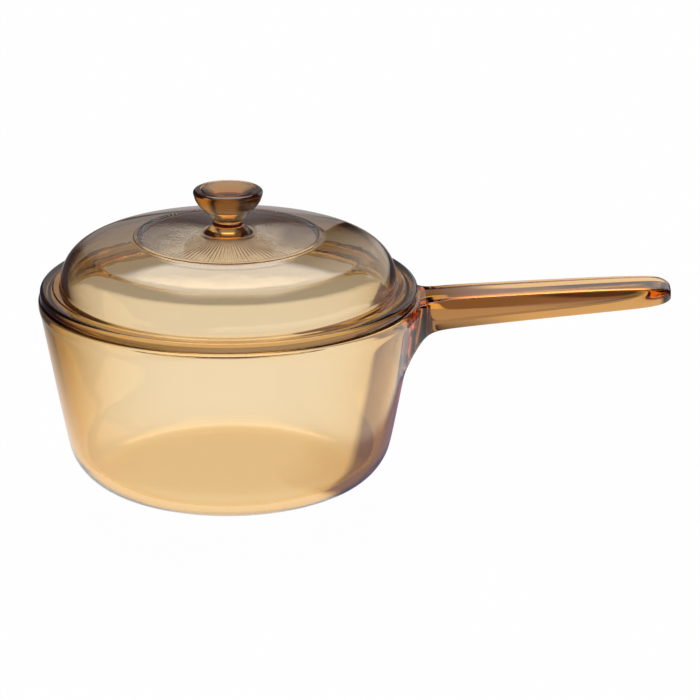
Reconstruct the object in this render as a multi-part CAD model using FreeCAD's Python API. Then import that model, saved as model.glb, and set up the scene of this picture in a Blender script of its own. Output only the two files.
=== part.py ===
import FreeCAD, Part
import math
import os

os.makedirs("parts", exist_ok=True)

# Saucepan in heat-proof glass, with a glass lid. All sizes are in millimetres.
# The origin is the centre of the flat base, +Z is up and the handle points along +X.

# bowl
rimRadius = 106.0
rimBandHeight = 5.0
rimBandStep = 0.6
panHeight = 106.5
baseCornerRadius = 86.4
baseRound = 28.0
wallThickness = 4.6
floorThickness = 5.0
rimRound = 1.6

# handle, one casting with the bowl
handleLength = 139.5
handleRootWidth = 33.0
handleTipWidth = 28.0
handleRootThickness = 16.6
handleTipThickness = 13.0
handleRise = 8.2
handleEdgeRound = 5.0
handleTipRound = 11.0
handleEndRound = 5.0
handleTipLift = 2.0
rootTopDrop = 0.6
rootTopLength = 8.0
rootTopRound = 40.0
rootUnderLength = 19.5
rootUnderRound = 28.0
rootFlareLength = 14.0
rootFlareRound = 20.0
rootTaper = 0.2

# lid
lidInset = 1.0
lidFlangeThickness = 6.3
lidSideClearance = 0.8
skirtDepth = 4.0
skirtWidth = 7.0
lidThickness = 4.0
lidFlangeWidth = 11.5
domeSideHeight = 2.581
domeSphere = 300.0
domeShoulder = 20.0
flangeStepInset = 7.3
flangeStep = 0.5
crownRadius = 52.4
crownStep = 0.4
crownSphere = 617.0

# rays pressed into the crown
rayCount = 120
rayInnerGap = 2.6
rayOuterGap = 2.4
rayInnerDepth = 0.14
rayOuterDepth = 0.34
raySideAngle = 66.0

# knob, one pressing with the lid
knobHeight = 24.8
knobRadius = 19.6
knobDiscRadius = 14.3
knobGroove = 0.7
knobNeckRadius = 8.4
knobNeckHeight = 6.0
knobFootRadius = 13.4


def vec(r, z):
    return FreeCAD.Vector(r, 0, z)


def line(a, b):
    return Part.LineSegment(a, b).toShape()


def arcAbout(centre, start, end):
    # arc of a circle about a centre, the short way round
    radius = (start - centre).Length
    middle = (start - centre).normalize() + (end - centre).normalize()
    middle.normalize()
    return Part.Arc(start, centre + middle * radius, end).toShape()


def roundedPath(corners):
    # straight runs through the corners, each corner rounded to its own radius
    points = [FreeCAD.Vector(c[0]) for c in corners]
    edges = []
    last = points[0]
    for i in range(1, len(points) - 1):
        back = points[i - 1] - points[i]
        ahead = points[i + 1] - points[i]
        turn = back.getAngle(ahead)
        wanted = corners[i][1] / math.tan(turn / 2)
        leg = min(wanted, 0.49 * back.Length, 0.49 * ahead.Length)
        if leg < 0.01:
            edges.append(line(last, points[i]))
            last = points[i]
            continue
        back.normalize()
        ahead.normalize()
        start = points[i] + back * leg
        end = points[i] + ahead * leg
        towards = (back + ahead).normalize()
        radius = leg * math.tan(turn / 2)
        centre = points[i] + towards * (radius / math.sin(turn / 2))
        edges.append(line(last, start))
        edges.append(Part.Arc(start, centre - towards * radius, end).toShape())
        last = end
    edges.append(line(last, points[-1]))
    return edges


def turned(edges):
    face = Part.Face(Part.Wire(edges))
    return face.revolve(FreeCAD.Vector(0, 0, 0), FreeCAD.Vector(0, 0, 1), 360)


def wallLine(offset, z):
    # radius of the sloping wall at a height, moved inwards by an offset along its normal
    run = (rimRadius - rimBandStep - baseCornerRadius) / (panHeight - rimBandHeight)
    slant = math.sqrt(1 + run * run)
    return baseCornerRadius + run * z - offset * slant


# bowl: outer body, then the hollow
bandFoot = panHeight - rimBandHeight
mouthRadius = wallLine(wallThickness, bandFoot)
bowlBody = turned(
    roundedPath(
        [
            (vec(0, panHeight), 0),
            (vec(rimRadius, panHeight), rimRound),
            (vec(rimRadius, bandFoot), 2.5),
            (vec(wallLine(0, bandFoot - 2), bandFoot - 2), 6),
            (vec(wallLine(0, 0), 0), baseRound),
            (vec(0, 0), 0),
        ]
    )
    + [line(vec(0, 0), vec(0, panHeight))]
)
above = panHeight + 10
hollow = turned(
    roundedPath(
        [
            (vec(0, above), 0),
            (vec(mouthRadius + rimRound + 10, above), 0),
            (vec(mouthRadius + rimRound, panHeight), 0),
            (vec(mouthRadius, panHeight - rimRound), 1.2),
            (vec(mouthRadius, bandFoot), 6),
            (vec(wallLine(wallThickness, floorThickness), floorThickness), baseRound - wallThickness),
            (vec(0, floorThickness), 0),
        ]
    )
    + [line(vec(0, floorThickness), vec(0, above))]
)

# handle: rounded slices across its length, joined in one smooth skin
rootX = rimRadius
handleReach = rootX + handleLength
tipRoundX = handleReach - handleTipRound
rootCentre = panHeight - rootTopDrop - handleRootThickness / 2


def arcFall(radius, distance):
    # how far a circle has fallen away at a distance past its tangent point
    past = min(max(distance, 0), radius * 0.995)
    return radius - math.sqrt(radius**2 - past**2)


def slice(x):
    along = (x - rootX) / (handleReach - rootX)
    width = handleRootWidth + (handleTipWidth - handleRootWidth) * along
    thick = handleRootThickness + (handleTipThickness - handleRootThickness) * along
    centre = rootCentre + handleRise * along
    half = width / 2
    half += arcFall(rootFlareRound, rootX + rootFlareLength - x)
    half -= arcFall(handleTipRound, x - tipRoundX)
    low = centre - thick / 2
    drop = arcFall(rootUnderRound, rootX + rootUnderLength - x)
    low -= drop
    low += arcFall(handleEndRound, x - (handleReach - handleEndRound)) * 0.6
    low += handleTipLift * max(0, x - handleReach + 30) / 30
    top = centre + thick / 2
    top -= arcFall(handleEndRound, x - (handleReach - handleEndRound)) * 0.4
    top -= arcFall(rootTopRound, rootX + rootTopLength - x)
    lowHalf = half - arcFall(rootFlareRound, rootX + rootFlareLength - x) - rootTaper * drop
    corner = min(handleEdgeRound, 0.45 * (top - low), 0.45 * 2 * half)
    lowCorner = min(handleEdgeRound + 0.35 * drop, 0.45 * (top - low), 0.9 * lowHalf)
    ring = roundedPath(
        [
            (FreeCAD.Vector(x, 0, top), 0),
            (FreeCAD.Vector(x, half, top), corner),
            (FreeCAD.Vector(x, lowHalf, low), lowCorner),
            (FreeCAD.Vector(x, -lowHalf, low), lowCorner),
            (FreeCAD.Vector(x, -half, top), corner),
            (FreeCAD.Vector(x, 0, top), 0),
        ]
    )
    return Part.Wire(ring)


stations = [rootX - 14, rootX - 9, rootX - 5, rootX - 1, rootX + 4, rootX + 9, rootX + 15, rootX + 22]
stations += [rootX + 34, rootX + 58, (rootX + handleReach) / 2 + 10, tipRoundX - 16, tipRoundX - 4]
stations += [tipRoundX + handleTipRound * s for s in (0.15, 0.4, 0.62, 0.8, 0.92, 1.0)]
handle = Part.makeLoft([slice(x) for x in stations], True, False)
print("handle", handle.isValid(), handle.Volume, len(handle.Faces))

pan = bowlBody.fuse(handle).cut(hollow).removeSplitter()
pan = pan.Solids[0]
print("pan", pan.isValid(), pan.Volume)
pan.exportStep("parts/pan.step")

# lid: dome, flange and locating skirt in one turned outline
flangeTop = panHeight + lidFlangeThickness
flangeBottom = panHeight
lidRadius = rimRadius - lidInset
domeSideRadius = lidRadius - lidFlangeWidth
flangeStepRadius = lidRadius - flangeStepInset
skirtRadius = mouthRadius - lidSideClearance
skirtFoot = flangeBottom - skirtDepth
shoulderRun = domeSideRadius - domeShoulder
shoulderCentre = vec(shoulderRun, flangeTop + domeSideHeight)
sphereDrop = math.sqrt((domeSphere - domeShoulder) ** 2 - shoulderRun**2)
sphereCentre = vec(0, shoulderCentre.z - sphereDrop)
tangent = (shoulderCentre - sphereCentre).normalize()


def onSphere(radius, r):
    return sphereCentre + vec(r, math.sqrt(radius**2 - r**2))


innerSphere = domeSphere - lidThickness
innerSide = domeSideRadius - lidThickness
crownEdge = onSphere(domeSphere, crownRadius)
crownLip = crownEdge + vec(0, crownStep)
crownTop = crownLip + vec(-crownRadius, crownSphere - math.sqrt(crownSphere**2 - crownRadius**2))
crownCentre = crownTop - vec(0, crownSphere)
sideTop = shoulderCentre + vec(domeShoulder, 0)
innerSideTop = shoulderCentre + vec(domeShoulder - lidThickness, 0)
innerTop = onSphere(innerSphere, 0)


def crownHeight(r):
    return crownCentre.z + math.sqrt(crownSphere**2 - r**2)


# knob: flat disc in a shallow groove, round rim, bowl-shaped body, neck and flared foot
knobBase = crownTop.z
knobTop = knobBase + knobHeight
knobFoot = vec(knobFootRadius, crownHeight(knobFootRadius))
grooveFloor = knobTop - knobGroove - 0.3
lidOutline = [line(innerTop, vec(0, knobTop))]
lidOutline += roundedPath(
    [
        (vec(0, knobTop), 0),
        (vec(knobDiscRadius, knobTop - 0.3), 0.7),
        (vec(knobDiscRadius + 0.3, grooveFloor), 0.2),
        (vec(knobDiscRadius + 1.0, grooveFloor), 0.2),
        (vec(knobDiscRadius + 1.6, knobTop - 0.2), 0.6),
        (vec(knobRadius + 0.2, knobTop - 1.0), 2.0),
        (vec(knobRadius - 1.6, knobTop - 7.6), 12),
        (vec(knobNeckRadius - 0.2, knobBase + knobNeckHeight + 1.4), 1.2),
        (vec(knobNeckRadius, knobBase + knobNeckHeight - 1.6), 3.5),
        (knobFoot, 0),
    ]
)
lidOutline += [
    arcAbout(crownCentre, knobFoot, crownLip),
    line(crownLip, crownEdge),
    arcAbout(sphereCentre, crownEdge, sphereCentre + tangent * domeSphere),
    arcAbout(shoulderCentre, sphereCentre + tangent * domeSphere, sideTop),
]
lidOutline += roundedPath(
    [
        (sideTop, 0),
        (vec(domeSideRadius, flangeTop), 1.2),
        (vec(flangeStepRadius - 0.4, flangeTop), 0.5),
        (vec(flangeStepRadius + 0.4, flangeTop - flangeStep), 0.5),
        (vec(lidRadius, flangeTop - flangeStep), 2.2),
        (vec(lidRadius, flangeBottom), 1.6),
        (vec(skirtRadius, flangeBottom), 0.5),
        (vec(skirtRadius - 0.3, skirtFoot), 1.4),
        (vec(skirtRadius - skirtWidth, skirtFoot), 1.6),
        (vec(innerSide, flangeBottom + 2), 10),
        (innerSideTop, 0),
    ]
)
lidOutline += [
    arcAbout(shoulderCentre, innerSideTop, sphereCentre + tangent * innerSphere),
    arcAbout(sphereCentre, sphereCentre + tangent * innerSphere, innerTop),
]
lidBody = turned(lidOutline)
print("lid body", lidBody.isValid(), lidBody.Volume)

# rays: one V groove, deeper and wider towards its outer end, repeated round the crown
rayClear = 1.0
rayInnerRadius = knobFootRadius + rayInnerGap
rayOuterRadius = crownRadius - rayOuterGap
rayInner = vec(rayInnerRadius, crownHeight(rayInnerRadius) - rayInnerDepth)
rayOuter = vec(rayOuterRadius, crownHeight(rayOuterRadius) - rayOuterDepth)
spread = FreeCAD.Vector(0, math.tan(math.radians(raySideAngle)) * rayClear, rayClear)
mirrorSpread = FreeCAD.Vector(0, -spread.y, spread.z)
innerTriangle = Part.makePolygon([rayInner, rayInner + spread, rayInner + mirrorSpread, rayInner])
outerTriangle = Part.makePolygon([rayOuter, rayOuter + spread, rayOuter + mirrorSpread, rayOuter])
ray = Part.makeLoft([innerTriangle, outerTriangle], True, True)
rays = []
for i in range(rayCount):
    copy = ray.copy()
    copy.rotate(FreeCAD.Vector(0, 0, 0), FreeCAD.Vector(0, 0, 1), 360 * (i + 0.5) / rayCount)
    rays.append(copy)

lid = lidBody.cut(rays)
print("lid", lid.isValid(), lid.Volume, len(lid.Faces))
lid.exportStep("parts/lid.step")
print("mouth", mouthRadius, "flangeTop", flangeTop, "knobTop", knobTop, "skirt", skirtRadius)
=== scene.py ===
import bpy
import math
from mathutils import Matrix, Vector


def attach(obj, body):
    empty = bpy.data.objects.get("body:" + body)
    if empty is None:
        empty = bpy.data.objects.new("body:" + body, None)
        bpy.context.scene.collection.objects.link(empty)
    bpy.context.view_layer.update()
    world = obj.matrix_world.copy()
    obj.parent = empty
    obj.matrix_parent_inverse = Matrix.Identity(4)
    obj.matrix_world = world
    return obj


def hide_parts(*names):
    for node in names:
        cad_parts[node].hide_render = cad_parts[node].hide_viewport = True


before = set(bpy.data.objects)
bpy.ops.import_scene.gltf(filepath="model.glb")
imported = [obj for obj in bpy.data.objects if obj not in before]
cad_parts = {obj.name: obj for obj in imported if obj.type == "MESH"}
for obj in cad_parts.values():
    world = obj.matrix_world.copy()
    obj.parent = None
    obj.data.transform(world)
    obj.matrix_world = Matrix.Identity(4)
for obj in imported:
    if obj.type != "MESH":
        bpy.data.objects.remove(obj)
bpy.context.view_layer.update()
for obj in bpy.context.selected_objects:
    obj.select_set(False)

mm = 0.001
weld = 0.00001      # points closer than this become one
scene = bpy.context.scene
scene.view_settings.view_transform = "Standard"
scene.cycles.max_bounces = 32           # light passes many glass walls
scene.cycles.transmission_bounces = 28
scene.cycles.glossy_bounces = 8
scene.cycles.sample_clamp_indirect = 8.0


# an outline is a list of (radius, height) points in millimetres, turned round the bowl's axis
def cornerRun(corners, step):
    # straight runs between (radius, height, round) corners, each rounded by its own amount
    points = [Vector(corners[0][:2])]
    for before, corner, after in zip(corners, corners[1:], corners[2:]):
        here = Vector(corner[:2])
        back = Vector(before[:2]) - here
        ahead = Vector(after[:2]) - here
        halfTurn = back.angle(ahead) / 2
        # two roundings never meet on the run between them
        leg = min(corner[2] / math.tan(halfTurn), 0.49 * back.length, 0.49 * ahead.length)
        if leg < 0.01:
            points.append(here)
            continue
        radius = leg * math.tan(halfTurn)
        back.normalize()
        ahead.normalize()
        towards = (back + ahead).normalized()
        centre = here + towards * (radius / math.sin(halfTurn))
        start = here + back * leg - centre
        end = here + ahead * leg - centre
        count = max(2, round(math.degrees(start.angle(end)) / step))
        swing = start.angle_signed(end)
        for k in range(count + 1):
            angle = -swing * k / count
            cos, sin = math.cos(angle), math.sin(angle)
            points.append(centre + Vector((start.x * cos - start.y * sin,
                                           start.x * sin + start.y * cos)))
    points.append(Vector(corners[-1][:2]))
    return points


def turnOutline(name, outline, steps, gain=1.0):
    # draws the outline point by point from a plane merged to one vertex, then spins it
    start = Vector((outline[0].x, 0, outline[0].y)) * mm
    bpy.ops.mesh.primitive_plane_add(size=mm, location=start)
    piece = bpy.context.object
    piece.name = name
    bpy.ops.object.transform_apply(location=True, rotation=True, scale=True)
    bpy.ops.object.mode_set(mode="EDIT")
    bpy.ops.mesh.select_mode(type="VERT")
    bpy.ops.mesh.select_all(action="SELECT")
    bpy.ops.mesh.merge(type="CENTER")
    for a, b in zip(outline, outline[1:]):
        move = ((b.x - a.x) * mm, 0, (b.y - a.y) * mm)
        bpy.ops.mesh.extrude_region_move(TRANSFORM_OT_translate={"value": move})
    bpy.ops.mesh.select_all(action="SELECT")
    bpy.ops.mesh.spin(steps=steps, angle=math.tau, center=(0, 0, 0), axis=(0, 0, 1))
    bpy.ops.mesh.select_all(action="SELECT")
    bpy.ops.mesh.remove_doubles(threshold=weld)
    bpy.ops.mesh.normals_make_consistent(inside=False)
    bpy.ops.transform.resize(value=(gain, gain, 1), center_override=(0, 0, 0))
    bpy.ops.object.mode_set(mode="OBJECT")
    return piece


# the bowl is turned on its axis, then the handle is drawn out of its wall
pan = {
    "steps": 72,            # parts round the bowl before subdivision
    "smooth": 2,            # subdivision levels
    "height": 106.5,
    "rim": 106.0,           # outer radius of the rim band
    "bandFoot": 101.5,      # height of the wall just under the band
    "wallTop": 105.4,       # outer radius there
    "baseCorner": 86.4,     # where the wall's line meets the base
    "baseRound": 28.0,
    "roundGain": 0.6,       # what subdivision takes off that rounding
    "footStep": 13,         # degrees a part in the rounding
    "footTop": (56, 50),    # heights where it has ended, outside and inside
    "flatRings": (15, 30),  # rings across the flat base and floor
    "wall": 4.6,
    "floor": 5.0,
    # the band from its foot over the top: inset from the rim's radius, drop from the height
    "band": ((0.1, 5.1), (0, 1.6), (0.25, 0.4), (1.2, 0), (2.6, 0), (3.8, 0), (4.9, 0.3)),
    "mouthDrops": (1.5, 3.3, 5.3),      # the upright mouth that takes the lid's skirt
    "innerRows": (97.0, 90.0, 80.0, 66.0),
    "patchRows": (66.0, 75.0, 84.0, 92.0, 99.0),    # the handle grows out of these rows
    "patchTop": 104.9,
    "patchHalf": 15.0,      # degrees either side of the handle's centre line
    "skin": 2.0,            # how deep under the outer wall still counts as outside
    # the wall's columns close up under the handle, so that its root narrows downwards
    "pinch": {40.0: 0.2, 56.0: 0.5, 66.0: 0.6, 75.0: 0.45, 84.0: 0.25},
    "pinchSlack": 0.6,      # a row this near a pinch height takes its amount
    "pinchSpread": 16,      # degrees over which it dies out
    "pinchEnd": 45,
}


def wallRadius(z, inset=0.0):
    run = (pan["wallTop"] - pan["baseCorner"]) / pan["bandFoot"]
    return pan["baseCorner"] + run * z - inset * math.sqrt(1 + run * run)


mouth = wallRadius(pan["bandFoot"], pan["wall"])
nearAxis, flatEdge = pan["flatRings"]
outerTop, innerTop = pan["footTop"]
floorHeight, wall = pan["floor"], pan["wall"]
outerFoot = cornerRun([
    (flatEdge, 0, 0), (pan["baseCorner"], 0, pan["baseRound"] + pan["roundGain"]),
    (wallRadius(outerTop), outerTop, 0)], pan["footStep"])
innerFoot = cornerRun([
    (wallRadius(innerTop, wall), innerTop, 0),
    (wallRadius(floorHeight, wall), floorHeight, pan["baseRound"] - wall + pan["roundGain"]),
    (flatEdge, floorHeight, 0)], pan["footStep"])
bowlOutline = [Vector((0, 0)), Vector((nearAxis, 0))] + outerFoot
bowlOutline += [Vector((wallRadius(z), z)) for z in pan["patchRows"]]
bowlOutline += [Vector((pan["rim"] - inset, pan["height"] - drop)) for inset, drop in pan["band"]]
bowlOutline += [Vector((mouth, pan["height"] - drop)) for drop in pan["mouthDrops"]]
bowlOutline += [Vector((wallRadius(z, wall), z)) for z in pan["innerRows"]]
bowlOutline += innerFoot + [Vector((nearAxis, floorHeight)), Vector((0, floorHeight))]
ringGain = 3 / (2 + math.cos(math.tau / pan["steps"]))   # what subdivision takes off a ring
panPiece = turnOutline("panGlass", bowlOutline, pan["steps"], ringGain)
print("bowl turned", len(panPiece.data.vertices))

handle = {
    "columns": (-1, -0.68, -0.34, 0, 0.34, 0.68, 1),    # across, as shares of the half width
    "firstPull": 0.002,
    # distance out, top, underside, half width at the top, half width at the underside
    "stations": (
        (107.5, 105.9, 83.0, 20.8, 14.5),
        (112.0, 106.6, 87.0, 18.0, 14.6),
        (118.0, 107.4, 89.4, 16.6, 15.6),
        (128.0, 108.4, 91.0, 16.3, 16.2),
        (150.0, 109.7, 93.4, 15.9, 15.8),
        (180.0, 111.5, 96.6, 15.2, 15.1),
        (210.0, 113.0, 99.7, 14.6, 14.5),
        (228.0, 113.6, 101.6, 14.3, 14.2),
        (236.5, 113.6, 102.9, 13.9, 13.8),
        (241.5, 113.0, 103.9, 12.4, 12.2),
        (244.6, 111.6, 104.9, 9.4, 9.2),
        (245.6, 110.4, 105.7, 6.6, 6.4),
    ),
    "widest": 0.45,         # how far up the section is widest
    "topTaper": (0.11, 2),      # narrowing from there to the top: amount and curve
    "lowTaper": (0.13, 1.5),    # and down to the underside
    "edgeTaper": (0.05, 6),     # and at both edges
}


def spaced(values):
    # sorted levels of a flat cap, each taken once
    levels = []
    for value in sorted(values):
        if not levels or value - levels[-1] > 0.02 * mm:
            levels.append(value)
    return levels


def sectionWidth(up, halfTop, halfLow):
    # half width of the handle's section at a share of its height
    widest = handle["widest"]
    topAmount, topCurve = handle["topTaper"]
    lowAmount, lowCurve = handle["lowTaper"]
    edgeAmount, edgeCurve = handle["edgeTaper"]
    half = halfLow + (halfTop - halfLow) * up
    half *= (1 - topAmount * max(0, (up - widest) / (1 - widest)) ** topCurve
             - lowAmount * max(0, (widest - up) / widest) ** lowCurve)
    return half * (1 - edgeAmount * abs(2 * up - 1) ** edgeCurve)


bpy.ops.object.mode_set(mode="EDIT")
bpy.ops.mesh.select_all(action="DESELECT")
bpy.ops.mesh.select_mode(type="FACE")
bpy.ops.object.mode_set(mode="OBJECT")
for polygon in panPiece.data.polygons:
    centre = polygon.center / mm
    angle = abs(math.degrees(math.atan2(centre.y, centre.x)))
    outside = math.hypot(centre.x, centre.y) > wallRadius(centre.z, pan["skin"])
    inRows = pan["patchRows"][0] < centre.z < pan["patchTop"]
    polygon.select = outside and inRows and angle < pan["patchHalf"]

for vertex in panPiece.data.vertices:
    co = vertex.co
    radius = math.hypot(co.x, co.y)
    angle = math.degrees(math.atan2(co.y, co.x))
    share = 0
    for level, amount in pan["pinch"].items():
        near = abs(co.z / mm - level) < pan["pinchSlack"]
        if near and radius > wallRadius(level, pan["skin"]) * mm:
            share = amount
    if share and abs(angle) < pan["pinchEnd"]:
        angle *= 1 - share * math.exp(-(angle / pan["pinchSpread"]) ** 2)
        co.x = radius * math.cos(math.radians(angle))
        co.y = radius * math.sin(math.radians(angle))

bpy.ops.object.mode_set(mode="EDIT")
for x, top, low, halfTop, halfLow in handle["stations"]:
    pull = (handle["firstPull"], 0, 0)
    bpy.ops.mesh.extrude_region_move(TRANSFORM_OT_translate={"value": pull})
    bpy.ops.object.mode_set(mode="OBJECT")
    cap = [v for v in panPiece.data.vertices if v.select]
    levels = spaced([v.co.z for v in cap])
    rows = [[] for level in levels]
    for v in cap:
        rows[min(range(len(levels)), key=lambda k: abs(levels[k] - v.co.z))].append(v)
    for number, row in enumerate(rows):
        row.sort(key=lambda v: v.co.y)
        up = number / (len(rows) - 1)
        up = 0.5 + 0.5 * math.sin(math.pi * (up - 0.5))      # rows crowd towards the edges
        half = sectionWidth(up, halfTop, halfLow)
        for v, share in zip(row, handle["columns"]):
            v.co = Vector((x, share * half, low + (top - low) * up)) * mm
    bpy.ops.object.mode_set(mode="EDIT")
bpy.ops.mesh.select_all(action="SELECT")
bpy.ops.mesh.normals_make_consistent(inside=False)
bpy.ops.object.mode_set(mode="OBJECT")
smooth = panPiece.modifiers.new("smooth", "SUBSURF")
smooth.levels = smooth.render_levels = pan["smooth"]
bpy.ops.object.modifier_apply(modifier="smooth")
bpy.ops.object.shade_smooth()
print("pan", len(panPiece.data.polygons))

# the lid's dome, flange and knob are turned in one, then rays are pressed into the crown
lid = {
    "steps": 480,
    "radius": 105.0,
    "flange": 6.3,
    "air": 0.15,            # film of air between flange and rim
    "play": 0.8,            # skirt to mouth
    "skirt": 4.0,
    "skirtWidth": 7.0,
    "skirtTaper": 0.3,
    "thick": 4.0,
    "side": 93.5,
    "innerRise": 2.0,       # where the inner side meets the skirt, above the flange's underside
    "rise": 32.4,
    "sphere": 300.0,
    "domeParts": (14, 20),          # parts along the dome, outside and inside
    "shoulder": 20.0,
    "shoulderParts": (16, 14),
    "shoulderFoot": 0.3,    # the side starts this far below the shoulder
    "step": 97.7,           # low step in the flange's top
    "stepSlope": 0.4,       # half its width
    "stepDrop": 0.5,
    # roundings of the side's foot, the step, the flange's edges, the skirt and the inner side
    "rounds": {"side": 1.0, "step": 0.5, "flangeTop": 2.4, "flangeLow": 1.7,
               "skirtRoot": 0.5, "skirtOut": 1.5, "skirtIn": 1.8, "inner": 10},
    "flangePart": 12,       # degrees a part in those roundings, and in the knob's
    "knobPart": 10,
    "crown": 52.4,
    "crownStep": 0.4,
    "crownSphere": 617.0,
    "crownRings": (14.6, 15.5, 16.0, 17.0, 19.0, 22.0, 26.0, 30.0, 34.0,
                   38.0, 42.0, 46.0, 49.0, 50.0, 50.3, 50.8, 51.8, 52.25),
    "lipDrop": 0.12,        # the crown's edge is eased by this
    "lipFoot": (0.1, 0.05),     # foot of its step, outwards and up
    "lipEnd": 0.4,          # and the dome begins here
    "rayCount": 120,
    "rayFrom": 15.6,
    "rayTo": 50.2,
    "rayDepth": 0.44,       # at the outer end
    "rayStart": 0.25,       # share of that depth left at the axis
    "raySkin": 0.5,         # only points this near the crown's top are pressed
    "knobHeight": 24.8,
    # the knob from its axis outwards: radius, drop below its top, rounding
    "knobTop": ((0, -0.1, 0), (14.3, 0.35, 0.8), (14.65, 1.1, 0.25), (15.3, 1.1, 0.25),
                (16.0, 0.25, 0.8), (19.8, 1.0, 2.0), (18.0, 7.6, 12)),
    # its neck: radius, height above the crown, rounding
    "neck": ((8.2, 7.4, 1.4), (8.4, 4.4, 3.5)),
    "foot": 13.4,
}
rounds = lid["rounds"]
flangeTop = pan["height"] + lid["flange"]
flangeLow = pan["height"] + lid["air"]
stepLow = flangeTop - lid["stepDrop"]
skirtR = mouth - lid["play"]
skirtLow = pan["height"] - lid["skirt"]
innerSide = lid["side"] - lid["thick"]
innerSphere = lid["sphere"] - lid["thick"]
sphereZ = flangeTop + lid["rise"] - lid["sphere"]
shoulderR = lid["side"] - lid["shoulder"]
shoulderZ = sphereZ + math.sqrt((lid["sphere"] - lid["shoulder"]) ** 2 - shoulderR ** 2)
sideTop = shoulderZ - lid["shoulderFoot"]
tilt = math.atan2(shoulderZ - sphereZ, shoulderR)
crownEdge = sphereZ + math.sqrt(lid["sphere"] ** 2 - lid["crown"] ** 2)
crownRise = lid["crownSphere"] - math.sqrt(lid["crownSphere"] ** 2 - lid["crown"] ** 2)
crownTop = crownEdge + lid["crownStep"] + crownRise
knobTop = crownTop + lid["knobHeight"]


def crownZ(r):
    return crownTop - lid["crownSphere"] + math.sqrt(lid["crownSphere"] ** 2 - r ** 2)


def shoulderRun(radius, fromAngle, toAngle, count):
    angles = [fromAngle + (toAngle - fromAngle) * k / count for k in range(count + 1)]
    return [Vector((shoulderR + radius * math.cos(a), shoulderZ + radius * math.sin(a)))
            for a in angles]


def domeRun(sphere, fromR, toR, count):
    radii = [fromR + (toR - fromR) * k / count for k in range(count + 1)]
    return [Vector((r, sphereZ + math.sqrt(sphere ** 2 - r ** 2))) for r in radii]


knob = [(r, knobTop - drop, rounding) for r, drop, rounding in lid["knobTop"]]
knob += [(r, crownTop + above, rounding) for r, above, rounding in lid["neck"]]
outline = cornerRun(knob + [(lid["foot"], crownZ(lid["foot"]), 0)], lid["knobPart"])
outline += [Vector((r, crownZ(r))) for r in lid["crownRings"]]
lipOut, lipUp = lid["lipFoot"]
outline += [Vector((lid["crown"], crownZ(lid["crown"]) - lid["lipDrop"])),
            Vector((lid["crown"] + lipOut, crownEdge + lipUp))]
outline += domeRun(lid["sphere"], lid["crown"] + lid["lipEnd"], lid["sphere"] * math.cos(tilt),
                   lid["domeParts"][0])
outline += shoulderRun(lid["shoulder"], tilt, 0, lid["shoulderParts"][0])[1:]
outline += cornerRun([
    (lid["side"], sideTop, 0),
    (lid["side"], flangeTop, rounds["side"]),
    (lid["step"] - lid["stepSlope"], flangeTop, rounds["step"]),
    (lid["step"] + lid["stepSlope"], stepLow, rounds["step"]),
    (lid["radius"], stepLow, rounds["flangeTop"]),
    (lid["radius"], flangeLow, rounds["flangeLow"]),
    (skirtR, flangeLow, rounds["skirtRoot"]),
    (skirtR - lid["skirtTaper"], skirtLow, rounds["skirtOut"]),
    (skirtR - lid["skirtWidth"], skirtLow, rounds["skirtIn"]),
    (innerSide, flangeLow + lid["innerRise"], rounds["inner"]),
    (innerSide, sideTop, 0)], lid["flangePart"])
outline += shoulderRun(lid["shoulder"] - lid["thick"], 0, tilt, lid["shoulderParts"][1])
outline += domeRun(innerSphere, innerSphere * math.cos(tilt), 0, lid["domeParts"][1])[1:]
lidPiece = turnOutline("lidGlass", outline, lid["steps"])
for vertex in lidPiece.data.vertices:
    co = vertex.co / mm
    r = math.hypot(co.x, co.y)
    if not lid["rayFrom"] < r < lid["rayTo"] or abs(co.z - crownZ(r)) > lid["raySkin"]:
        continue
    turn = math.atan2(co.y, co.x) / math.tau * lid["rayCount"]
    groove = 0.5 - 0.5 * math.cos(math.tau * turn)
    deepening = lid["rayStart"] + (1 - lid["rayStart"]) * r / lid["rayTo"]
    vertex.co.z -= lid["rayDepth"] * deepening * groove * mm
bpy.ops.object.shade_smooth()
print("lid", len(lidPiece.data.polygons))

# slow waves left by the mould, light smudges, and a very slight unevenness of tint
mould = {
    "waveScale": 26.0,
    "rippleScale": 90.0,
    "rippleShare": 0.12,
    "relief": 0.002,
    "smudgeScale": 38.0,
    "smudgeFrom": 0.52,     # how rare the smudges are
    "smudgeTo": 0.75,
    "clear": (1.0, 1.0, 1.0),
    "tinted": (0.985, 0.975, 0.96),
}


def shaderGroup(name, inputs, outputs):
    tree = bpy.data.node_groups.new(name, "ShaderNodeTree")
    for label, kind, value in inputs:
        socket = tree.interface.new_socket(label, in_out="INPUT", socket_type=kind)
        socket.default_value = value
    for label, kind in outputs:
        tree.interface.new_socket(label, in_out="OUTPUT", socket_type=kind)
    return tree, tree.nodes.new("NodeGroupInput"), tree.nodes.new("NodeGroupOutput")


def noiseNode(tree, where, scale, detail, rough):
    node = tree.nodes.new("ShaderNodeTexNoise")
    node.inputs["Scale"].default_value = scale
    node.inputs["Detail"].default_value = detail
    node.inputs["Roughness"].default_value = rough
    tree.links.new(where, node.inputs["Vector"])
    return node


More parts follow.
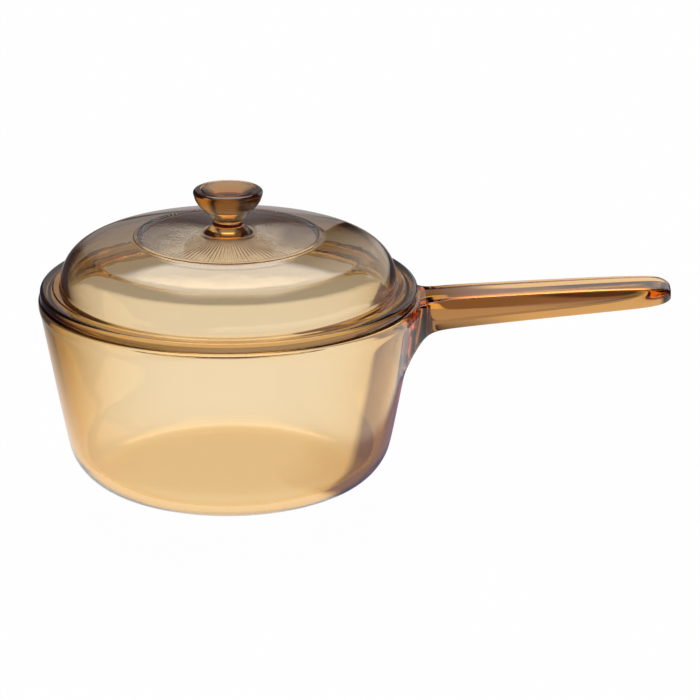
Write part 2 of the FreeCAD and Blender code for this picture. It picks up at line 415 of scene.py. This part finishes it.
moulded, source, result = shaderGroup(
    "mouldedGlass",
    [("Wave", "NodeSocketFloat", 0.15), ("Smudge", "NodeSocketFloat", 0.03)],
    [("Tint", "NodeSocketColor"), ("Roughness", "NodeSocketFloat"),
     ("Normal", "NodeSocketVector")])
place = moulded.nodes.new("ShaderNodeTexCoord").outputs["Object"]
slow = noiseNode(moulded, place, mould["waveScale"], detail=1.5, rough=0.4)
ripple = noiseNode(moulded, place, mould["rippleScale"], detail=2.0, rough=0.5)
height = moulded.nodes.new("ShaderNodeMath")
height.operation = "MULTIPLY_ADD"
height.inputs[1].default_value = mould["rippleShare"]
moulded.links.new(ripple.outputs["Fac"], height.inputs[0])
moulded.links.new(slow.outputs["Fac"], height.inputs[2])
bump = moulded.nodes.new("ShaderNodeBump")
bump.inputs["Distance"].default_value = mould["relief"]
moulded.links.new(source.outputs["Wave"], bump.inputs["Strength"])
moulded.links.new(height.outputs[0], bump.inputs["Height"])
moulded.links.new(bump.outputs["Normal"], result.inputs["Normal"])
smear = noiseNode(moulded, place, mould["smudgeScale"], detail=7.0, rough=0.62)
smearRange = moulded.nodes.new("ShaderNodeMapRange")
smearRange.inputs["From Min"].default_value = mould["smudgeFrom"]
smearRange.inputs["From Max"].default_value = mould["smudgeTo"]
moulded.links.new(smear.outputs["Fac"], smearRange.inputs["Value"])
moulded.links.new(source.outputs["Smudge"], smearRange.inputs["To Max"])
moulded.links.new(smearRange.outputs["Result"], result.inputs["Roughness"])
tint = moulded.nodes.new("ShaderNodeMix")
tint.data_type = "RGBA"
tint.inputs["A"].default_value = (*mould["clear"], 1)
tint.inputs["B"].default_value = (*mould["tinted"], 1)
moulded.links.new(slow.outputs["Fac"], tint.inputs["Factor"])
moulded.links.new(tint.outputs["Result"], result.inputs["Tint"])


def glassMaterial(name, look):
    material = bpy.data.materials.new(name)
    material.use_nodes = True
    nodes, links = material.node_tree.nodes, material.node_tree.links
    shader = nodes["Principled BSDF"]
    shader.inputs["Transmission Weight"].default_value = 1.0
    shader.inputs["IOR"].default_value = look["ior"]
    surface = nodes.new("ShaderNodeGroup")
    surface.node_tree = moulded
    surface.inputs["Wave"].default_value = look["wave"]
    surface.inputs["Smudge"].default_value = look["smudge"]
    # painted shade: deeper colour where the glass turns away from the eye (dark brown on the
    # lid), standing in for the glass's darker edges
    slant = nodes.new("ShaderNodeLayerWeight")
    slant.inputs["Blend"].default_value = 0.5
    turned = nodes.new("ShaderNodeMapRange")
    turned.interpolation_type = "SMOOTHSTEP"
    turned.inputs["From Min"].default_value = look["edgeFrom"]
    turned.inputs["From Max"].default_value = look["edgeTo"]
    links.new(slant.outputs["Facing"], turned.inputs["Value"])
    edgeShadeMix = nodes.new("ShaderNodeMix")
    edgeShadeMix.data_type = "RGBA"
    edgeShadeMix.inputs["B"].default_value = (*look["paintedEdgeShade"], 1)
    links.new(turned.outputs["Result"], edgeShadeMix.inputs["Factor"])
    links.new(surface.outputs["Tint"], edgeShadeMix.inputs["A"])
    links.new(edgeShadeMix.outputs["Result"], shader.inputs["Base Color"])
    links.new(surface.outputs["Roughness"], shader.inputs["Roughness"])
    links.new(surface.outputs["Normal"], shader.inputs["Normal"])
    # the amber itself, deeper the further light goes through the glass
    body = nodes.new("ShaderNodeVolumeAbsorption")
    body.inputs["Color"].default_value = (*look["bodyColour"], 1)
    body.inputs["Density"].default_value = look["bodyDensity"]
    links.new(body.outputs["Volume"], nodes["Material Output"].inputs["Volume"])
    return material


panLook = {
    "ior": 1.52,
    "wave": 0.04,
    "smudge": 0.02,
    "bodyColour": (0.955, 0.68, 0.12),
    "bodyDensity": 95.0,
    "edgeFrom": 0.18,
    "edgeTo": 0.85,
    # painted shade: deeper amber where the bowl's glass turns away from the eye
    "paintedEdgeShade": (0.95, 0.66, 0.22),
}
lidLook = {
    "ior": 1.50,
    "wave": 0.08,
    "smudge": 0.02,
    "bodyColour": (0.855, 0.61, 0.14),
    "bodyDensity": 120.0,
    "edgeFrom": 0.44,
    "edgeTo": 0.84,
    # painted shade: dark brown where the lid's glass turns away from the eye
    "paintedEdgeShade": (0.26, 0.18, 0.13),
}
panPiece.data.materials.append(glassMaterial("amberCastGlass", panLook))
lidPiece.data.materials.append(glassMaterial("amberPressedGlass", lidLook))
for piece, body in ((panPiece, "pan"), (lidPiece, "lid")):
    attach(piece, body)
    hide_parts(body)
print("glass set")


def fade(tree, socket, low, high, a, b):
    node = tree.nodes.new("ShaderNodeMapRange")
    node.interpolation_type = "SMOOTHSTEP"
    labels = ("From Min", "From Max", "To Min", "To Max")
    for label, value in zip(labels, (low, high, a, b)):
        node.inputs[label].default_value = value
    tree.links.new(socket, node.inputs["Value"])
    return node.outputs["Result"]


def sums(tree, operation, a, b=None):
    node = tree.nodes.new("ShaderNodeMath")
    node.operation = operation
    for i, value in enumerate((a, b)):
        if isinstance(value, (int, float)):
            node.inputs[i].default_value = value
        elif value is not None:
            tree.links.new(value, node.inputs[i])
    return node.outputs[0]


def colourMix(tree, factor, a, b):
    node = tree.nodes.new("ShaderNodeMix")
    node.data_type = "RGBA"
    tree.links.new(factor, node.inputs["Factor"])
    for label, value in (("A", a), ("B", b)):
        if isinstance(value, tuple):
            node.inputs[label].default_value = (*value, 1)
        else:
            tree.links.new(value, node.inputs[label])
    return node.outputs["Result"]


def axes(tree, output):
    split = tree.nodes.new("ShaderNodeSeparateXYZ")
    tree.links.new(tree.nodes.new("ShaderNodeTexCoord").outputs[output], split.inputs["Vector"])
    return split.outputs["X"], split.outputs["Y"], split.outputs["Z"]


def seenDirectly(tree):
    return tree.nodes.new("ShaderNodeLightPath").outputs["Is Camera Ray"]


# a glowing floor, plain white to the eye: what the glass shows of it is lit or dark by place
floorLook = {
    "size": 14,
    "drop": 0.0004,
    "white": 0.985,
    "dim": (0.060, 0.052, 0.070),
    "own": (0.03, 0.03, 0.03),      # the floor's own colour without its glow
    "rough": 0.9,
    "poolWide": (0.07, 0.26),       # the lit pool: where it fades to the sides and behind
    "poolDeep": (0.345, 0.41),
    "distant": 0.46,                # a fainter lit stretch further back, and where it fades
    "distantWide": (0.14, 0.30),
    "distantFrom": (0.30, 0.35),
    "paintedCardGlow": (0.27, 0.23, 0.34),
    "paintedCardEdge": 0.0678,             # a plum patch painted into the floor's glow under the bowl's handle side
    "paintedCardSoft": 0.004,
    "paintedCardSlant": 0.152,
    "paintedCardWide": 0.062,
    "paintedCardFrom": (-0.135, -0.075),   # where its front end fades in
    "shelfSide": 0.02,              # a painted white strip in the floor's glow below the handle, from the card outwards
    "paintedShelfTo": (0.165, 0.195),      # it fades into the dark behind
}
bpy.ops.mesh.primitive_plane_add(size=floorLook["size"], location=(0, 0, -floorLook["drop"]))
floor = bpy.context.object
floor.name = "floor"
floorMaterial = bpy.data.materials.new("paleFloor")
floorMaterial.use_nodes = True
tree = floorMaterial.node_tree
x, y, z = axes(tree, "Object")
aside = sums(tree, "ABSOLUTE", x)
pool = sums(tree, "MULTIPLY", fade(tree, aside, *floorLook["poolWide"], 1, 0),
            fade(tree, y, *floorLook["poolDeep"], 1, 0))
distant = sums(tree, "MULTIPLY",
               fade(tree, aside, *floorLook["distantWide"], floorLook["distant"], 0),
               fade(tree, y, *floorLook["distantFrom"], 0, 1))
across = sums(tree, "SUBTRACT", x, sums(tree, "MULTIPLY", y, floorLook["paintedCardSlant"]))
paintedCardEdge, paintedCardSoft = floorLook["paintedCardEdge"], floorLook["paintedCardSoft"]
# painted shade: a plum patch in the floor's glow, shown only through the glass as the dark wedge
# by the handle
onPaintedCard = sums(tree, "MULTIPLY",
              fade(tree, across, paintedCardEdge - paintedCardSoft, paintedCardEdge + paintedCardSoft, 0, 1),
              fade(tree, y, *floorLook["paintedCardFrom"], 0, 1))
farSide = paintedCardEdge + floorLook["paintedCardWide"]
# painted light and shade: a white strip of glow beyond the card, and dim glow behind it, which
# only the glass shows
beyond = fade(tree, across, farSide, farSide + floorLook["shelfSide"], 0, 1)
nearPaintedShelf = fade(tree, y, *floorLook["paintedShelfTo"], 1, 0)
paintedDarkBehind = sums(tree, "MULTIPLY", beyond, sums(tree, "SUBTRACT", 1, nearPaintedShelf))
shelf = sums(tree, "MULTIPLY", beyond, nearPaintedShelf)
lit = sums(tree, "MAXIMUM", sums(tree, "MAXIMUM", pool, distant), shelf)
white = (floorLook["white"],) * 3
glow = colourMix(tree, lit, floorLook["dim"], white)
glow = colourMix(tree, onPaintedCard, glow, floorLook["paintedCardGlow"])
glow = colourMix(tree, paintedDarkBehind, glow, floorLook["dim"])
glow = colourMix(tree, shelf, glow, white)
glow = colourMix(tree, seenDirectly(tree), glow, white)
floorShader = tree.nodes["Principled BSDF"]
floorShader.inputs["Base Color"].default_value = (*floorLook["own"], 1)
floorShader.inputs["Roughness"].default_value = floorLook["rough"]
floorShader.inputs["Specular IOR Level"].default_value = 0.0
floorShader.inputs["Emission Strength"].default_value = 1.0
tree.links.new(glow, floorShader.inputs["Emission Color"])
floor.data.materials.append(floorMaterial)

# soft light from a white wall and a long softbox behind, and darkness elsewhere, which draws
# the glass's edges; all places are sines of angles
surround = {
    "dark": (0.050, 0.042, 0.050),
    "open": (1.0, 1.0, 1.0),        # what the camera sees past the object
    "behind": (0.0, 0.3),
    "wallWide": (0.16, 0.32),
    "wallTop": (0.42, 0.56),
    "wallGlow": 0.33,
    "wallLeft": 0.12,               # share of that glow left above the wall's top
    "boxFrom": (0.56, 0.60),
    "boxTo": (0.93, 0.99),
    "boxGlow": 2.4,
}
world = bpy.data.worlds.new("studio")
scene.world = world
world.use_nodes = True
tree = world.node_tree
x, y, z = axes(tree, "Generated")
behind = fade(tree, y, *surround["behind"], 0, 1)
side = fade(tree, sums(tree, "ABSOLUTE", x), *surround["wallWide"], 1, 0)
box = sums(tree, "MULTIPLY", fade(tree, z, *surround["boxFrom"], 0, 1),
           fade(tree, z, *surround["boxTo"], 1, 0))
low = fade(tree, z, *surround["wallTop"], 1, surround["wallLeft"])
level = sums(tree, "ADD", sums(tree, "MULTIPLY", low, surround["wallGlow"]),
             sums(tree, "MULTIPLY", box, surround["boxGlow"]))
lightness = sums(tree, "MULTIPLY", sums(tree, "MULTIPLY", behind, side), level)
wallLight = tree.nodes.new("ShaderNodeVectorMath")
wallLight.operation = "SCALE"
wallLight.inputs[0].default_value = (1.0, 1.0, 1.0)
tree.links.new(lightness, wallLight.inputs["Scale"])
allLight = tree.nodes.new("ShaderNodeVectorMath")
allLight.operation = "ADD"
allLight.inputs[1].default_value = surround["dark"]
tree.links.new(wallLight.outputs[0], allLight.inputs[0])
seen = colourMix(tree, seenDirectly(tree), allLight.outputs[0], surround["open"])
tree.links.new(seen, tree.nodes["Background"].inputs["Color"])

# a white reflector behind the handle, which the glass sees and the camera doesn't
board = {
    "place": (0.28, 0.30, 0.25),
    "size": (0.40, 0.26),
    "glow": 0.75,
    "fadeIn": (-0.50, -0.30),       # share of its width over which it fades in
}
bpy.ops.mesh.primitive_plane_add(size=1, location=board["place"],
                                 rotation=(math.radians(90), 0, 0))
reflector = bpy.context.object
reflector.name = "reflector"
reflector.scale = (*board["size"], 1)
reflector.visible_camera = False
reflector.visible_diffuse = False
reflectorMaterial = bpy.data.materials.new("whiteReflector")
reflectorMaterial.use_nodes = True
tree = reflectorMaterial.node_tree
x, y, z = axes(tree, "Object")
shader = tree.nodes["Principled BSDF"]
shader.inputs["Base Color"].default_value = (0, 0, 0, 1)
shader.inputs["Emission Color"].default_value = (1, 1, 1, 1)
tree.links.new(fade(tree, x, *board["fadeIn"], 0, board["glow"]),
               shader.inputs["Emission Strength"])
reflector.data.materials.append(reflectorMaterial)
print("studio set")

view = {
    "place": (0.0674, -2.3795, 0.8860),
    "tilt": 71.15,
    "lens": 231.4,
    "far": 50,
}
bpy.ops.object.camera_add(location=view["place"], rotation=(math.radians(view["tilt"]), 0, 0))
camera = bpy.context.object
camera.data.lens = view["lens"]
camera.data.clip_end = view["far"]
scene.camera = camera
print("camera set")
